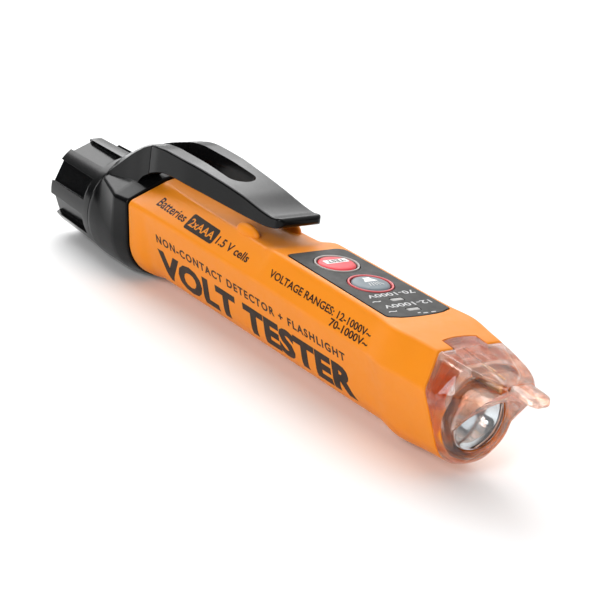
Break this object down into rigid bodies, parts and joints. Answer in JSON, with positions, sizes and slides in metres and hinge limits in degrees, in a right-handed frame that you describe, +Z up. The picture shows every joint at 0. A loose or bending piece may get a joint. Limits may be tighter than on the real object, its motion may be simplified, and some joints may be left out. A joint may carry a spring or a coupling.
{
  "type": "non contact voltage tester",
  "caption": "Pen-style non-contact voltage tester with a clear sensing nose, built-in flashlight, push buttons, pocket clip and ribbed screw cap.",
  "frame": {"origin": "middle of the tester's plan, on the plane its underside rests on", "axes": "+X towards the sensing tongue at the nose, +Y to the left side, +Z up through the push buttons"},
  "size_m": [0.1738, 0.0258, 0.0351],
  "materials": {
    "orange_shell": "satin moulded ABS",
    "panel": "fine satin overlay",
    "grey_ring": "satin",
    "red_ring": "satin",
    "window": "frosted light pipe",
    "led": "clear epoxy",
    "board": "solder mask",
    "black_component": "moulded epoxy",
    "brass": "drawn sheet",
    "clear_nose": "clear polycarbonate",
    "seal": "matte silicone",
    "clear_lens": "polished acrylic",
    "reflector": "vacuum metallised",
    "dark_plastic": "moulded",
    "cell": "shrink wrap",
    "contact": "nickel plated",
    "black_plastic": "satin gloss",
    "red_button": "printed silicone",
    "grey_button": "printed silicone"
  },
  "bodies": {
    "tester": {"main_housing": "orange_shell", "control_panel": "panel", "power_button_ring": "grey_ring", "flashlight_button_ring": "red_ring", "low_range_window": "window", "high_range_window": "window", "low_range_led": "led", "high_range_led": "led", "circuit_board": "board", "power_switch": "black_component", "flashlight_switch": "black_component", "controller_chip": "black_component", "piezo_buzzer": "brass", "sensor_antenna": "brass", "tip_led": "led", "nose_lens": "clear_nose", "nose_seal": "seal", "flashlight_lens": "clear_lens", "flashlight_reflector": "reflector", "flashlight_led": "led", "led_board": "board", "battery_sleeve": "dark_plastic", "battery_front": "cell", "battery_rear": "cell", "front_contact": "contact", "negative_strip": "contact", "clip_collar": "black_plastic"},
    "power_key": {"power_button": "red_button"},
    "flashlight_key": {"flashlight_button": "grey_button"},
    "clip": {"pocket_clip": "black_plastic"},
    "seal_ring": {"cap_o_ring": "seal"},
    "cap": {"battery_cap": "black_plastic", "cap_contact_plate": "contact", "cap_spring": "contact"}
  },
  "joints": [
    {"name": "power_press", "type": "slide", "parent": "tester", "child": "power_key", "axis": [0, 0, -1], "range_m": [0, 0.0006], "stiffness_N_per_m": 400},
    {"name": "flashlight_press", "type": "slide", "parent": "tester", "child": "flashlight_key", "axis": [0, 0, -1], "range_m": [0, 0.0006], "stiffness_N_per_m": 400},
    {"name": "clip_flex", "type": "hinge", "parent": "tester", "child": "clip", "pos_m": [-0.05, 0, 0.0336], "axis": [0, -1, 0], "range_deg": [0, 7], "stiffness_Nm_per_rad": 0.3},
    {"name": "cap_travel", "type": "slide", "parent": "tester", "child": "seal_ring", "axis": [-1, 0, 0], "range_m": [0, 0.0065]},
    {"name": "cap_turn", "type": "hinge", "parent": "seal_ring", "child": "cap", "pos_m": [-0.08, 0, 0.01215], "axis": [-1, 0, 0], "range_deg": [0, 1080]}
  ],
  "couplings": [
    {"joint": "cap_travel", "follows": "cap_turn", "m_per_rad": 0.00031831}
  ]
}
